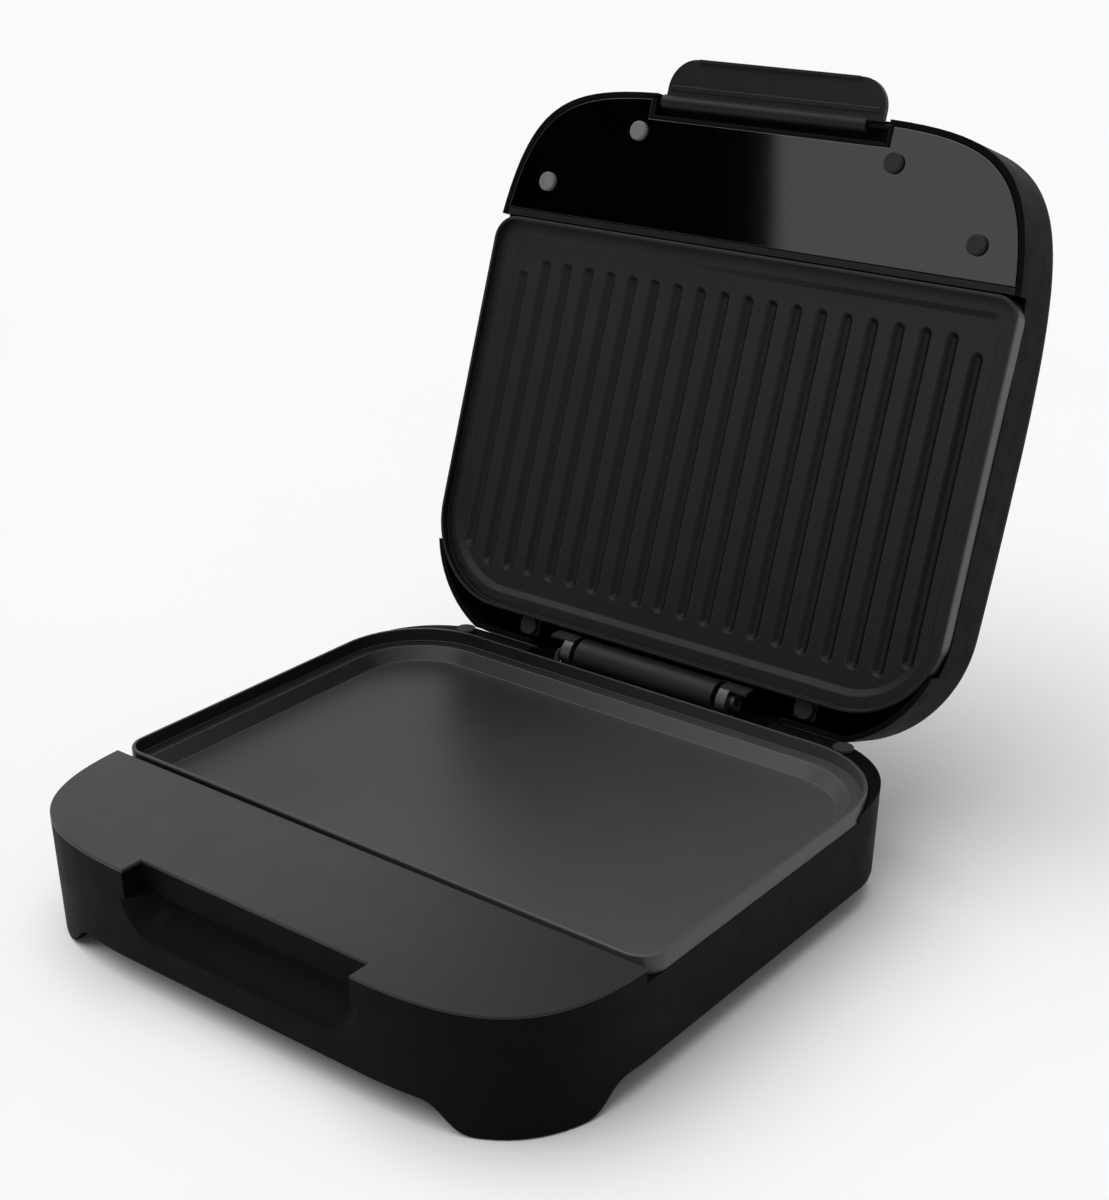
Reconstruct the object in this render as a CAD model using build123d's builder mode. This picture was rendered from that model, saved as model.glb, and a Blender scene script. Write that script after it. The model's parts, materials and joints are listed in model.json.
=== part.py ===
from build123d import *
from math import cos, radians, sin
import os

os.makedirs("parts", exist_ok=True)

# Sizes in millimetres, +Z up, the table at Z = 0, the front towards -Y.

# Overall body
HALF_WIDTH = 124.0
BASE_FRONT = -172.4
BASE_REAR = BASE_FRONT + 237.7
DECK_TOP = 47.2
WALL = 2.5
WALL_DRAFT = 1.6
WALL_BOTTOM = 0.6
ROOF_UNDERSIDE = 43.0
CORNER_ACROSS = 69.6
CORNER_ALONG = 66.9
CORNER_PULL = 0.735
BASE_REAR_RADIUS = 40.3

# Front deck, its latch notch and the finger scoop under it
DECK_REAR = BASE_FRONT + 60.3
DECK_THICKNESS = 1.2
NOTCH_HALF = 52.9
NOTCH_DEPTH = 9.0
CREASE_Z = DECK_TOP - 11.5
SCOOP_DEPTH = 12.5
SCOOP_REACH = 16.0
SCOOP_END_X = 39.9
PEG_RADIUS = 1.8
PEG_SPOTS = [
    (-84.0, BASE_FRONT + 30.0),
    (84.0, BASE_FRONT + 30.0),
    (-84.0, BASE_FRONT + 52.0),
    (84.0, BASE_FRONT + 52.0),
]

# Skirt and corner feet
SKIRT_Z = 10.8
FOOT_RISE = 19.0
FOOT_FRONT_X = 77.0
FOOT_REAR_X = 58.0
FOOT_SIDE_FRONT = BASE_FRONT + 54.0
FOOT_SIDE_REAR = BASE_FRONT + 212.0
SHELF_FRONT_X = 90.5
SHELF_REAR_X = 80.0
SHELF_FRONT = BASE_FRONT + 34.0
SHELF_REAR = BASE_FRONT + 219.5
SHELF_THICKNESS = 2.4
PAD_HEIGHT = 1.6
PAD_RADIUS = 5.5
PAD_SPOTS = [
    (-97.5, BASE_FRONT + 20.5),
    (97.5, BASE_FRONT + 20.5),
    (-90.0, BASE_FRONT + 226.0),
    (90.0, BASE_FRONT + 226.0),
]
STEM_RADIUS = 2.4

# Lower cooking plate
PLATE_HALF = 123.6
PLATE_FRONT = BASE_FRONT + 61.6
PLATE_REAR = BASE_FRONT + 227.4
PLATE_FRONT_RADIUS = 10.0
PLATE_REAR_RADIUS = 39.0
RIM_TOP = 48.2
RIM_WIDTH = 1.4
SIDE_WALL_TOP = 41.2
LEDGE_Z = 42.6
LEDGE_INSET = 6.5
FLOOR_Z = 37.4
FLOOR_INSET = 11.0
PLATE_BACK_Z = 34.4

# Rear deck and hinge
REAR_DECK = 46.4
DECK_CHAMFER_LENGTH = 1.65
DECK_CHAMFER_DROP = 0.93
RAMP_START = BASE_FRONT + 176.0
RAMP_END = BASE_FRONT + 212.0
HINGE_Y = BASE_FRONT + 236.5
HINGE_Z = 49.2
OPEN_ANGLE = 108.9
BARREL_RADIUS = 7.0
BARREL_HALF = 34.0
BARREL_BORE = 4.5
PIN_RADIUS = 2.5
PIN_CLEARANCE = 0.05
PIN_INNER_X = 24.0
PIN_HEAD_RADIUS = 4.0
EAR_INSIDE = 36.5
EAR_OUTSIDE = 41.0
BRACKET_OUTSIDE = 57.0
HINGE_POCKET_HALF = 60.0
HINGE_POCKET_Z = 39.0
POCKET_FRONT = BASE_FRONT + 229.5
POCKET_OPEN_LEFT = -48.5
POCKET_OPEN_RIGHT = 41.4
REAR_LIP = 1.6
BRACKET_SCREW_SPOTS = [(-51.5, HINGE_Y - 3.6), (51.5, HINGE_Y - 3.6)]
REAR_PAD_SPOTS = [(-94.2, HINGE_Y - 4.9), (94.2, HINGE_Y - 4.9)]

# Lid, measured from the hinge axis with the lid shut: across, along, height
LID_FRONT = -233.8
LID_REAR = 6.7
LID_CORNER_ACROSS = 86.9
LID_CORNER_ALONG = 120.4
LID_CORNER_PULL = 0.92
LID_REAR_RADIUS = 53.0
LID_HEIGHT = 42.5
LID_CROWN_RADIUS = 1200.0
LID_CROWN_Y = -110.0
LID_EDGE_RADIUS = 9.0
LID_WALL = 2.2
REAR_TAPER_HEIGHT = 14.0
REAR_TAPER_KNEE = 3.0
REAR_TAPER_KNEE_OUT = 2.75
REAR_TAPER_FOOT = 2.2
PANEL_REAR = -178.7
PANEL_THICKNESS = 2.5
PANEL_INSET = 2.6
LID_PLATE_FRONT = -175.1
LID_PLATE_REAR = -8.7
LID_RIM = -0.5
LID_SEAT = 5.5
LID_LEDGE = 3.0
LID_FLOOR = 4.8
LID_FLOOR_INSET = 9.0
LID_PLATE_BACK = 9.6
SEAT_FRONT = -175.5
SEAT_REAR = -31.0
LID_NOTCH_HALF = 62.0
LID_NOTCH_HEIGHT = 9.5
BUMPER_RADIUS = 4.0
BUMPER_HEIGHT = 1.8
BUMPER_SPOTS = [(-59.5, -217.4), (59.5, -217.4), (-100.7, -191.6), (100.7, -191.6)]
REAR_CAP_SPOTS = [(-69.0, -4.6), (69.0, -4.6)]
PANEL_CUT_REAR = -222.8
PANEL_CUT_HALF = 56.2
BAR_FRONT = -178.3
BAR_REAR = -175.7
BAR_FLANGE = 4.6
LUG_Y = -184.0
LUG_SPOTS = [(-40.0, LUG_Y), (40.0, LUG_Y)]
LUG_BOTTOM = 6.6
LUG_TOP = 8.6
REAR_LUG_BOTTOM = 7.6

# Grooves of the upper plate
GROOVE_PITCH = 11.4
GROOVE_COUNT = 20
GROOVE_WIDTH = 5.8
GROOVE_DEPTH = 2.0
GROOVE_TAPER = 45.0
GROOVE_LEAD = 0.2
GROOVE_FRONT = -159.5
GROOVE_REAR = -25.0
OUTER_GROOVE_TRIM = 6.0

# Latch at the front of the lid
LATCH_Y = -230.7
LATCH_H = 3.0
LATCH_BARREL_RADIUS = 3.2
LATCH_BARREL_LEFT = -52.0
LATCH_BARREL_RIGHT = 43.5
LATCH_HALF = 50.3
LATCH_TIP = -248.6
LATCH_CORNER = 12.0
LATCH_FACE = 0.9
LATCH_THICKNESS = 2.4
LATCH_ROOT = -232.4
LATCH_RIDGE_Y = -237.4
LATCH_RIDGE_WIDTH = 1.8
LATCH_RIDGE_HEIGHT = 0.8
LATCH_LIP_HEIGHT = 1.4
LATCH_LIP_WIDTH = 1.2
LATCH_PIN_RADIUS = 1.25
TROUGH_HALF = 54.0
TROUGH_WALL = 1.6
TROUGH_REAR = -224.6
TROUGH_FRONT = -231.4
TROUGH_FLOOR = 7.2
TROUGH_BACK = 9.6
TROUGH_SCREW_SPOTS = [(-35.0, -227.2), (35.0, -227.2)]

# Inner parts
ELEMENT_RADIUS = 3.25
REFLECTOR_SHEET = 0.8
REFLECTOR_RIM = 4.0
REFLECTOR_HALF = 96.0
REFLECTOR_LENGTH = 134.0
ELEMENT_X = 62.0
TERMINAL_X = 14.0
THERMOSTAT_Y = BASE_FRONT + 142.0
BOSS_RADIUS = 4.5
POST_RADIUS = 5.5
SCREW_RADIUS = 1.9
SCREW_HOLE = 1.95
HEAD_RADIUS = 3.6
SMALL_SCREW = 1.3
SMALL_HOLE = 1.35
SMALL_HEAD = 2.4
WEB_FRONT = -4.0
WEB_REAR = -0.5
BARREL_SCREW_SPOTS = [(-26.0, 15.5), (26.0, 15.5)]
LID_WIRE_X = 6.0
LENS_SPOTS = [(-9.0, -203.0), (9.0, -203.0)]
LENS_RADIUS = 3.4
LENS_SEAT = 36.0
SLEEVE_RADIUS = 1.35
SLEEVE_X = -46.5
CLAMP_X = 78.0
CLAMP_FRONT = BASE_FRONT + 84.0
CLAMP_REAR = BASE_FRONT + 200.0
CLAMP_SPOTS = [
    (-CLAMP_X, CLAMP_FRONT),
    (CLAMP_X, CLAMP_FRONT),
    (-CLAMP_X, CLAMP_REAR),
    (CLAMP_X, CLAMP_REAR),
]
LID_CLAMP_FRONT = -150.0
LID_CLAMP_REAR = -38.0
COVER_Z = 11.4
COVER_THICKNESS = 2.0
REFLECTOR_Z = 26.8
LID_REFLECTOR = 17.0
LID_CLAMP_SPOTS = [
    (-CLAMP_X, LID_CLAMP_FRONT),
    (CLAMP_X, LID_CLAMP_FRONT),
    (-CLAMP_X, LID_CLAMP_REAR),
    (CLAMP_X, LID_CLAMP_REAR),
]
UPPER_CUTOUT_Y = (LID_PLATE_FRONT + LID_PLATE_REAR) / 2
GLAND_X = -66.0
GLAND_Z = 27.0
GLAND_RADIUS = 6.5
BLOCK_Y = BASE_REAR - 20.0

# Ways a piece sits on its point: above it, below it, or behind and above it
ON_TOP = (Align.CENTER, Align.CENTER, Align.MIN)
BELOW = (Align.CENTER, Align.CENTER, Align.MAX)
BEHIND_ON_TOP = (Align.CENTER, Align.MIN, Align.MIN)

# The lid stands open: its own plane is turned back about the hinge axis.
TURN = radians(OPEN_ANGLE)
LID = Plane(origin=(0, HINGE_Y, HINGE_Z), x_dir=(1, 0, 0), z_dir=(0, sin(TURN), cos(TURN)))


def lid_side(x):
    """A plane across the lid at x: its own x runs along the lid, its y upwards."""
    return Plane(origin=LID.from_local_coords((x, 0, 0)), x_dir=LID.y_dir, z_dir=LID.x_dir)


def body_outline(plane, inset, front, rear, across, along, pull, rear_radius):
    """Plan outline of a housing: soft front corners and round rear corners."""
    half = HALF_WIDTH - inset
    low = front + inset
    high = rear - inset
    side_y = low + along - inset
    front_x = half - across + inset
    pull_y = side_y - pull * (side_y - low)
    pull_x = front_x + pull * (half - front_x)
    bend = rear_radius - inset
    with BuildSketch(plane) as outline:
        with BuildLine():
            Bezier((half, side_y), (half, pull_y), (pull_x, low), (front_x, low))
            Line((front_x, low), (-front_x, low))
            Bezier((-front_x, low), (-pull_x, low), (-half, pull_y), (-half, side_y))
            Line((-half, side_y), (-half, high - bend))
            CenterArc((bend - half, high - bend), bend, 180, -90)
            Line((bend - half, high), (half - bend, high))
            CenterArc((half - bend, high - bend), bend, 90, -90)
            Line((half, high - bend), (half, side_y))
        make_face()
    return outline.sketch


def base_outline(z, inset):
    """Outline of the base at a height."""
    sizes = (CORNER_ACROSS, CORNER_ALONG, CORNER_PULL, BASE_REAR_RADIUS)
    return body_outline(Plane.XY.offset(z), inset, BASE_FRONT, BASE_REAR, *sizes)


def lid_outline(height, inset):
    """Outline of the lid at a height above its parting plane."""
    sizes = (LID_CORNER_ACROSS, LID_CORNER_ALONG, LID_CORNER_PULL, LID_REAR_RADIUS)
    return body_outline(LID.offset(height), inset, LID_FRONT, LID_REAR, *sizes)


def plate_outline(plane, inset, front, rear):
    """Outline of a cooking plate: small front corners and wide rear corners."""
    with BuildSketch(plane) as outline:
        with Locations((0, (front + rear) / 2)):
            Rectangle(2 * (PLATE_HALF - inset), rear - front - 2 * inset)
        fillet(outline.vertices().group_by(Axis.Y)[0], radius=max(PLATE_FRONT_RADIUS - inset, 4.0))
        fillet(outline.vertices().group_by(Axis.Y)[-1], radius=max(PLATE_REAR_RADIUS - inset, 4.0))
    return outline.sketch


def base_plate(z, inset):
    """Outline of the lower plate at a height."""
    return plate_outline(Plane.XY.offset(z), inset, PLATE_FRONT, PLATE_REAR)


def lid_plate(height, inset):
    """Outline of the upper plate at a height above the lid's parting plane."""
    return plate_outline(LID.offset(height), inset, LID_PLATE_FRONT, LID_PLATE_REAR)


def lid_dome(inset):
    """Solid body inside the lid's outer skin, moved in by an inset."""
    foot = REAR_TAPER_FOOT - inset
    with BuildPart(LID) as dome:
        extrude(lid_outline(0, inset), amount=LID_HEIGHT + 2)
        with Locations((0, LID_CROWN_Y, LID_HEIGHT - LID_CROWN_RADIUS)):
            Sphere(LID_CROWN_RADIUS - inset, rotation=(90, 0, 0), mode=Mode.INTERSECT)
        top = dome.faces().sort_by(Axis(LID.origin, LID.z_dir))[-1]
        fillet(top.edges(), radius=LID_EDGE_RADIUS - inset)
        with BuildSketch(lid_side(0)):
            Polygon(
                (foot, -2),
                (foot, 0),
                (REAR_TAPER_KNEE_OUT - inset, REAR_TAPER_KNEE),
                (LID_REAR - inset, REAR_TAPER_HEIGHT),
                (LID_REAR + 20, REAR_TAPER_HEIGHT),
                (LID_REAR + 20, -2),
                align=None,
            )
        extrude(amount=HALF_WIDTH + 5, both=True, mode=Mode.SUBTRACT)
    return dome.part


def arch(plane, start, end):
    """Opening under a wall: level between start and end, falling to a foot beyond each."""
    low_start = start - FOOT_RISE
    low_end = end + FOOT_RISE
    with BuildSketch(plane) as opening:
        with BuildLine():
            Polyline((low_start, WALL_BOTTOM), (low_start, -2), (low_end, -2), (low_end, WALL_BOTTOM))
            Bezier(
                (low_end, WALL_BOTTOM),
                (end + FOOT_RISE / 2, WALL_BOTTOM),
                (end + FOOT_RISE / 2, SKIRT_Z),
                (end, SKIRT_Z),
            )
            Line((end, SKIRT_Z), (start, SKIRT_Z))
            Bezier(
                (start, SKIRT_Z),
                (start - FOOT_RISE / 2, SKIRT_Z),
                (start - FOOT_RISE / 2, WALL_BOTTOM),
                (low_start, WALL_BOTTOM),
            )
        make_face()
    return opening.sketch


def bowl(x):
    """Section of the finger scoop at x, from the crease down to where it meets the wall."""
    with BuildSketch(Plane.YZ.offset(x)) as section:
        with BuildLine():
            Bezier(
                (BASE_FRONT + SCOOP_DEPTH, CREASE_Z),
                (BASE_FRONT + SCOOP_DEPTH, CREASE_Z - 9),
                (BASE_FRONT + 1.2, CREASE_Z - 8),
                (BASE_FRONT + 0.3, CREASE_Z - SCOOP_REACH),
            )
            Polyline(
                (BASE_FRONT + 0.3, CREASE_Z - SCOOP_REACH),
                (BASE_FRONT - 5, CREASE_Z - SCOOP_REACH),
                (BASE_FRONT - 5, CREASE_Z),
                (BASE_FRONT + SCOOP_DEPTH, CREASE_Z),
            )
        make_face()
    return section.sketch


def save(part, name):
    """Name a piece and write it to a file of its own."""
    part.label = name
    export_step(part, "parts/" + name + ".step")


# Base housing: drafted walls, roof under the front deck, rear deck and corner feet
with BuildPart() as base_housing:
    loft([base_outline(WALL_BOTTOM, WALL_DRAFT), base_outline(DECK_TOP - DECK_THICKNESS, 0)], ruled=True)
    loft(
        [base_outline(-1, WALL_DRAFT + WALL), base_outline(ROOF_UNDERSIDE, WALL)],
        ruled=True,
        mode=Mode.SUBTRACT,
    )
    # Arches between the feet: in the front wall, in the rear wall and in both side walls
    extrude(arch(Plane.XZ, -FOOT_FRONT_X, FOOT_FRONT_X), amount=400, mode=Mode.SUBTRACT)
    extrude(arch(Plane.XZ, -FOOT_REAR_X, FOOT_REAR_X), amount=-400, mode=Mode.SUBTRACT)
    extrude(arch(Plane.YZ, FOOT_SIDE_FRONT, FOOT_SIDE_REAR), amount=400, both=True, mode=Mode.SUBTRACT)
    # Ledge that the bottom cover closes against
    extrude(base_outline(COVER_Z + COVER_THICKNESS, WALL_DRAFT + 1), amount=2)
    extrude(base_outline(COVER_Z + COVER_THICKNESS, 9), amount=2, mode=Mode.SUBTRACT)
    # Shelves inside the four feet, with holes for the rubber pads
    with BuildSketch(Plane.XY.offset(PAD_HEIGHT)):
        add(base_outline(0, WALL_DRAFT + 0.5))
        with Locations((0, SHELF_REAR)):
            Rectangle(2 * SHELF_FRONT_X, 300, align=(Align.CENTER, Align.MAX), mode=Mode.SUBTRACT)
        with Locations((0, SHELF_FRONT)):
            Rectangle(2 * SHELF_REAR_X, 300, align=(Align.CENTER, Align.MIN), mode=Mode.SUBTRACT)
            Rectangle(300, SHELF_REAR - SHELF_FRONT, align=(Align.CENTER, Align.MIN), mode=Mode.SUBTRACT)
    extrude(amount=SHELF_THICKNESS)
    with Locations(*PAD_SPOTS):
        Cylinder(STEM_RADIUS, 12, mode=Mode.SUBTRACT)
    # Solid backing for the notch and the finger scoop
    with BuildSketch(Plane.YZ):
        Polygon(
            (BASE_FRONT + 1.6, ROOF_UNDERSIDE),
            (BASE_FRONT + NOTCH_DEPTH + WALL, ROOF_UNDERSIDE),
            (BASE_FRONT + NOTCH_DEPTH + WALL, CREASE_Z + 3),
            (BASE_FRONT + SCOOP_DEPTH + WALL, CREASE_Z + 2),
            (BASE_FRONT + SCOOP_DEPTH + WALL, CREASE_Z - 6),
            (BASE_FRONT + SCOOP_DEPTH - 3, CREASE_Z - SCOOP_REACH),
            (BASE_FRONT + 1.6, CREASE_Z - SCOOP_REACH - WALL),
            align=None,
        )
    extrude(amount=NOTCH_HALF + WALL, both=True)
    with Locations((0, BASE_FRONT + NOTCH_DEPTH, CREASE_Z)):
        Box(2 * NOTCH_HALF, 30, 30, align=(Align.CENTER, Align.MAX, Align.MIN), mode=Mode.SUBTRACT)
    # Scoop under the notch: a soft bowl profile, turned round at both ends
    extrude(bowl(0), amount=SCOOP_END_X, both=True, mode=Mode.SUBTRACT)
    revolve(
        bowl(SCOOP_END_X),
        axis=Axis((SCOOP_END_X, 0, CREASE_Z), (0, -1, 0)),
        revolution_arc=90,
        mode=Mode.SUBTRACT,
    )
    revolve(
        bowl(-SCOOP_END_X),
        axis=Axis((-SCOOP_END_X, 0, CREASE_Z), (0, 1, 0)),
        revolution_arc=90,
        mode=Mode.SUBTRACT,
    )
    # Beam under the rear deck with a pocket for the hinge
    with Locations((0, POCKET_FRONT - 4.5, HINGE_POCKET_Z - WALL)):
        Box(
            2 * HINGE_POCKET_HALF + 6,
            BASE_REAR - POCKET_FRONT + 3.5,
            REAR_DECK - HINGE_POCKET_Z + WALL,
            align=BEHIND_ON_TOP,
        )
    pocket_length = BASE_REAR - REAR_LIP - POCKET_FRONT
    with Locations((0, POCKET_FRONT, HINGE_POCKET_Z)):
        Box(2 * HINGE_POCKET_HALF, pocket_length, 40, align=BEHIND_ON_TOP, mode=Mode.SUBTRACT)
    pocket_middle = (POCKET_OPEN_LEFT + POCKET_OPEN_RIGHT) / 2
    with Locations((pocket_middle, POCKET_FRONT, HINGE_POCKET_Z)):
        Box(POCKET_OPEN_RIGHT - POCKET_OPEN_LEFT, 40, 40, align=BEHIND_ON_TOP, mode=Mode.SUBTRACT)
    # Round relief in the pocket's rear lip for the head of the right hinge pin
    with Locations((EAR_OUTSIDE + 1.5, HINGE_Y, HINGE_Z)):
        Cylinder(PIN_HEAD_RADIUS + 0.4, 4, rotation=(0, 90, 0), mode=Mode.SUBTRACT)
    # Room for the plate: side walls lower beside it, deck edge round its rear corners
    with BuildSketch(Plane.YZ):
        with BuildLine():
            ramp_mid = (RAMP_START + RAMP_END) / 2
            Bezier(
                (RAMP_START, SIDE_WALL_TOP),
                (ramp_mid, SIDE_WALL_TOP),
                (ramp_mid, REAR_DECK),
                (RAMP_END, REAR_DECK),
            )
            Polyline(
                (RAMP_END, REAR_DECK),
                (RAMP_END, DECK_TOP + 10),
                (DECK_REAR, DECK_TOP + 10),
                (DECK_REAR, SIDE_WALL_TOP),
                (RAMP_START, SIDE_WALL_TOP),
            )
        make_face()
    extrude(amount=200, both=True, mode=Mode.SUBTRACT)
    extrude(base_plate(SIDE_WALL_TOP, -0.4), amount=20, mode=Mode.SUBTRACT)
    with Locations((0, DECK_REAR + 40, REAR_DECK)):
        Box(300, 200, 20, align=BEHIND_ON_TOP, mode=Mode.SUBTRACT)
    # Rear edge sloped to clear the open lid
    with BuildSketch(Plane.YZ):
        Polygon(
            (BASE_REAR - DECK_CHAMFER_LENGTH, REAR_DECK),
            (BASE_REAR - DECK_CHAMFER_LENGTH, REAR_DECK + 5),
            (BASE_REAR + DECK_CHAMFER_LENGTH, REAR_DECK + 5),
            (BASE_REAR + DECK_CHAMFER_LENGTH, REAR_DECK - 2 * DECK_CHAMFER_DROP),
            align=None,
        )
    extrude(amount=200, both=True, mode=Mode.SUBTRACT)
    # Roof opening under the plate
    extrude(base_plate(PLATE_BACK_Z - 1, 3.4), amount=12, mode=Mode.SUBTRACT)
    # Peg holes for the front deck and gland hole in the rear wall
    with Locations(*PEG_SPOTS):
        Cylinder(PEG_RADIUS + 0.1, 100, mode=Mode.SUBTRACT)
    with Locations((GLAND_X, BASE_REAR, GLAND_Z)):
        Cylinder(GLAND_RADIUS + 0.05, 20, rotation=(90, 0, 0), mode=Mode.SUBTRACT)
    # Screw holes for the hinge brackets, rear pad holes and a hole for the lid's lead
    with Locations(*[(x, y, HINGE_POCKET_Z) for x, y in BRACKET_SCREW_SPOTS]):
        Cylinder(SCREW_HOLE, 20, mode=Mode.SUBTRACT)
    with Locations(*[(x, y, REAR_DECK) for x, y in REAR_PAD_SPOTS]):
        Cylinder(1.6, 12, mode=Mode.SUBTRACT)
    with Locations((SLEEVE_X, HINGE_Y - 3.7, HINGE_POCKET_Z)):
        Cylinder(2.4, 8, mode=Mode.SUBTRACT)
save(base_housing.part, "base_housing")

# Satin deck over the front of the base
with BuildPart() as front_deck:
    extrude(base_outline(DECK_TOP - DECK_THICKNESS, 0), amount=DECK_THICKNESS)
    with Locations((0, DECK_REAR, 0)):
        Box(300, 300, 200, align=(Align.CENTER, Align.MIN, Align.CENTER), mode=Mode.SUBTRACT)
    with Locations((0, BASE_FRONT + NOTCH_DEPTH, 0)):
        Box(2 * NOTCH_HALF, 60, 200, align=(Align.CENTER, Align.MAX, Align.CENTER), mode=Mode.SUBTRACT)
    with Locations(*PEG_SPOTS):
        with Locations((0, 0, DECK_TOP - DECK_THICKNESS)):
            Cylinder(PEG_RADIUS, 5, align=BELOW)
    chamfer(front_deck.faces().sort_by(Axis.Z)[-1].edges(), length=0.35)
save(front_deck.part, "front_deck")

# Bottom cover with vents and four posts that take the clamping screws
with BuildPart() as bottom_cover:
    extrude(base_outline(COVER_Z, WALL_DRAFT + WALL + 0.4), amount=COVER_THICKNESS)
    with Locations(*CLAMP_SPOTS):
        with Locations((0, 0, COVER_Z)):
            Cylinder(POST_RADIUS, REFLECTOR_Z - COVER_Z, align=ON_TOP)
            Cylinder(SCREW_HOLE, 100, mode=Mode.SUBTRACT)
            Cylinder(HEAD_RADIUS + 0.2, 2.6, align=ON_TOP, mode=Mode.SUBTRACT)
    with Locations((0, BASE_FRONT + 142, COVER_Z)):
        with GridLocations(34, 16, 3, 4):
            Box(24, 3, 10, mode=Mode.SUBTRACT)
save(bottom_cover.part, "bottom_cover")

# Rubber foot pads: a disc under each foot with a stem through the shelf
with BuildPart() as foot_pads:
    with Locations(*PAD_SPOTS):
        Cylinder(PAD_RADIUS, PAD_HEIGHT, align=ON_TOP)
        Cylinder(STEM_RADIUS - 0.1, 5.2, align=ON_TOP)
save(foot_pads.part, "foot_pads")

# Lower cooking plate: upstanding rim, stepped edge and a smooth floor
with BuildPart() as lower_plate:
    extrude(base_plate(SIDE_WALL_TOP, 0), amount=RIM_TOP - SIDE_WALL_TOP)
    fillet(lower_plate.faces().sort_by(Axis.Z)[-1].edges(), radius=0.6)
    loft([base_plate(PLATE_BACK_Z, 9), base_plate(SIDE_WALL_TOP, 4)], ruled=True)
    extrude(base_plate(LEDGE_Z, RIM_WIDTH), amount=20, mode=Mode.SUBTRACT)
    loft(
        [base_plate(FLOOR_Z, FLOOR_INSET), base_plate(LEDGE_Z, LEDGE_INSET)],
        ruled=True,
        mode=Mode.SUBTRACT,
    )
    with Locations(*CLAMP_SPOTS):
        with Locations((0, 0, REFLECTOR_Z + REFLECTOR_SHEET)):
            Cylinder(BOSS_RADIUS, 8, align=ON_TOP)
            Cylinder(SCREW_HOLE, 8, align=ON_TOP, mode=Mode.SUBTRACT)
save(lower_plate.part, "lower_plate")

# Lower reflector: a shallow sheet tray with turned-up edges under the element
with BuildPart() as lower_reflector:
    with BuildSketch(Plane.XY.offset(REFLECTOR_Z)):
        with Locations((0, (PLATE_FRONT + PLATE_REAR) / 2)):
            RectangleRounded(2 * REFLECTOR_HALF, REFLECTOR_LENGTH, 12)
    extrude(amount=REFLECTOR_RIM)
    with BuildSketch(Plane.XY.offset(REFLECTOR_Z + REFLECTOR_SHEET)):
        with Locations((0, (PLATE_FRONT + PLATE_REAR) / 2)):
            RectangleRounded(
                2 * (REFLECTOR_HALF - REFLECTOR_SHEET),
                REFLECTOR_LENGTH - 2 * REFLECTOR_SHEET,
                12 - REFLECTOR_SHEET,
            )
    extrude(amount=REFLECTOR_RIM, mode=Mode.SUBTRACT)
    with Locations(*CLAMP_SPOTS):
        Cylinder(SCREW_HOLE, 100, mode=Mode.SUBTRACT)
    with Locations((0, THERMOSTAT_Y)):
        Cylinder(12, 100, mode=Mode.SUBTRACT)
    with Locations((0, CLAMP_REAR + 12, REFLECTOR_Z + 1.5)):
        Box(2 * TERMINAL_X + 8, 10, 10, align=ON_TOP, mode=Mode.SUBTRACT)
save(lower_reflector.part, "lower_reflector")

# Lower heating element: one bent tube with a terminal at each end
LOWER_ELEMENT_Z = PLATE_BACK_Z - ELEMENT_RADIUS - 0.1
with BuildPart() as lower_element:
    with BuildLine(Plane.XY.offset(LOWER_ELEMENT_Z)):
        lower_bend = FilletPolyline(
            (-TERMINAL_X, CLAMP_REAR - 4),
            (-TERMINAL_X, CLAMP_REAR - 24),
            (-ELEMENT_X, CLAMP_REAR - 24),
            (-ELEMENT_X, CLAMP_FRONT + 16),
            (ELEMENT_X, CLAMP_FRONT + 16),
            (ELEMENT_X, CLAMP_REAR - 24),
            (TERMINAL_X, CLAMP_REAR - 24),
            (TERMINAL_X, CLAMP_REAR - 4),
            radius=9,
        )
    with BuildSketch(Plane(origin=lower_bend @ 0, z_dir=lower_bend % 0)):
        Circle(ELEMENT_RADIUS)
    sweep()
    with Locations((0, CLAMP_REAR - 4, LOWER_ELEMENT_Z)):
        with Locations((-TERMINAL_X, 0), (TERMINAL_X, 0)):
            Cylinder(1.5, 20, rotation=(90, 0, 0))
save(lower_element.part, "lower_element")

# Snap thermostat pressed against the plate's back, and the fuse beside it
with BuildPart() as thermostat:
    with Locations((0, THERMOSTAT_Y, PLATE_BACK_Z)):
        Cylinder(8.5, 6, align=BELOW)
        Cylinder(7, 12, align=BELOW)
        Box(28, 9, 0.8, align=BELOW)
    with Locations((-4, THERMOSTAT_Y, PLATE_BACK_Z - 15), (4, THERMOSTAT_Y, PLATE_BACK_Z - 15)):
        Box(0.8, 6.3, 8)
save(thermostat.part, "thermostat")

with BuildPart() as thermal_fuse:
    with Locations((30, THERMOSTAT_Y, PLATE_BACK_Z - 2.6)):
        Cylinder(2.4, 14, rotation=(0, 90, 0))
        Cylinder(0.6, 34, rotation=(0, 90, 0))
save(thermal_fuse.part, "thermal_fuse")

# Terminal block on the bottom cover, with a row of screw sockets
with BuildPart() as terminal_block:
    with Locations((GLAND_X + 24, BLOCK_Y, COVER_Z + COVER_THICKNESS)):
        Box(30, 14, 9, align=ON_TOP)
    with Locations((GLAND_X + 24, BLOCK_Y, COVER_Z + COVER_THICKNESS + 9)):
        with GridLocations(9, 7, 3, 2):
            Cylinder(2, 5, mode=Mode.SUBTRACT)
save(terminal_block.part, "terminal_block")

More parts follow.
